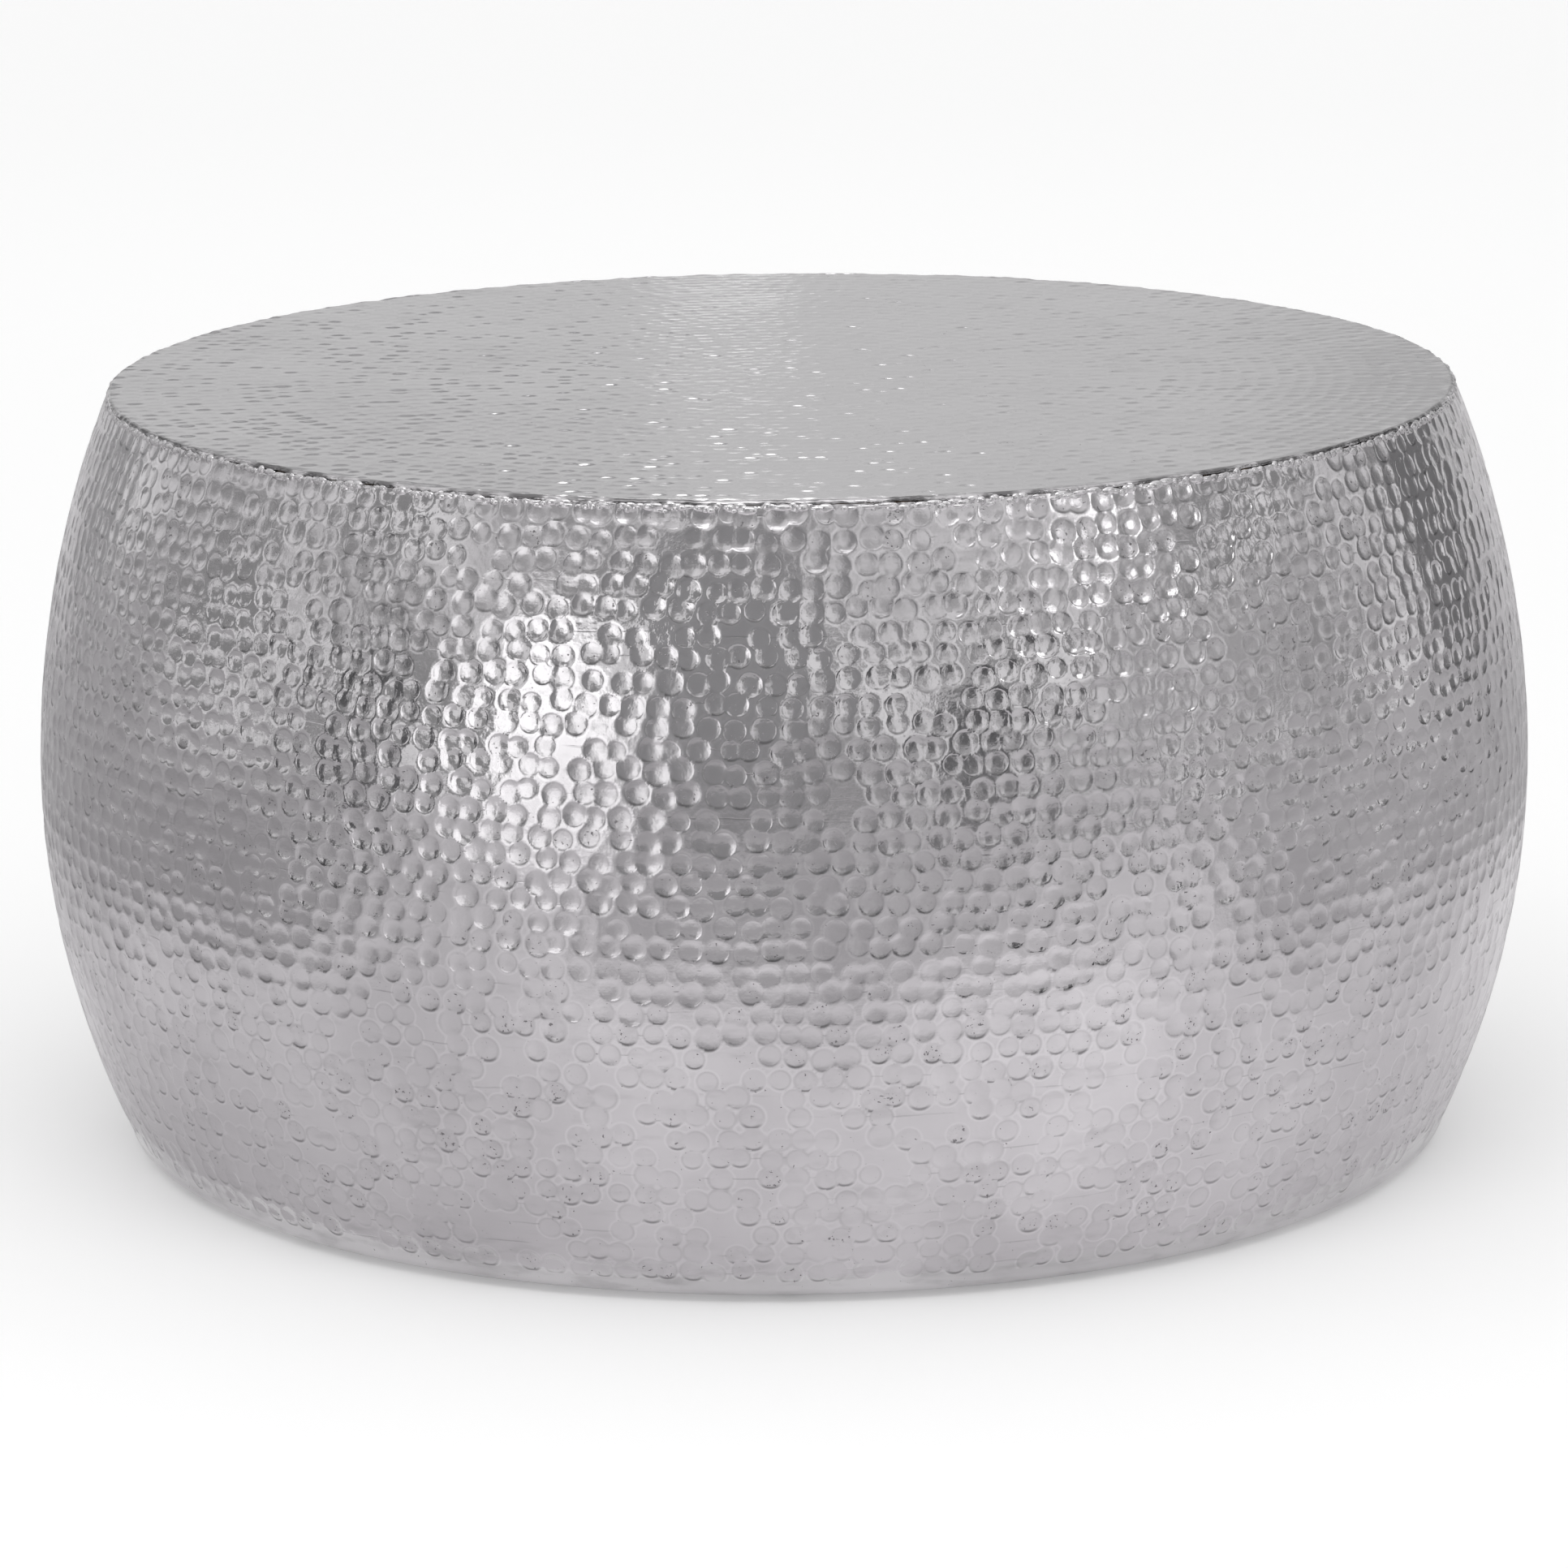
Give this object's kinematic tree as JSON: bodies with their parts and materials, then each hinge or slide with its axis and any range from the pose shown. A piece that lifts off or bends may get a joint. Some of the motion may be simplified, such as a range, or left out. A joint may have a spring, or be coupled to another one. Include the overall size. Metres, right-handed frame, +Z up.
{
  "type": "drum coffee table",
  "caption": "Round barrel-shaped coffee table of hammered aluminium sheet with a flat top, hollow and open underneath, on low glides.",
  "frame": {"origin": "on the floor, on the drum's axis", "axes": "+Z up along the drum's axis; +Y towards the wall's weld seam at the back"},
  "size_m": [0.7598, 0.7598, 0.385],
  "materials": {
    "wall": "hammered and polished",
    "top": "finely hammered and polished",
    "ring": "mill finish",
    "fibreboard": "raw sanded fibreboard",
    "screws": "bright zinc plate",
    "glides": "moulded nylon"
  },
  "bodies": {
    "root": {"drum_shell": "wall", "top_sheet": "top", "top_board": "fibreboard", "rim_ring": "ring", "base_ring": "fibreboard", "board_screw_1": "screws", "board_screw_2": "screws", "board_screw_3": "screws", "board_screw_4": "screws", "board_screw_5": "screws", "board_screw_6": "screws", "board_screw_7": "screws", "board_screw_8": "screws", "glide_screw_1": "screws", "glide_screw_2": "screws", "glide_screw_3": "screws", "glide_screw_4": "screws", "glide_screw_5": "screws", "glide_screw_6": "screws", "glide_1": "glides", "glide_2": "glides", "glide_3": "glides", "glide_4": "glides", "glide_5": "glides", "glide_6": "glides"}
  },
  "joints": []
}
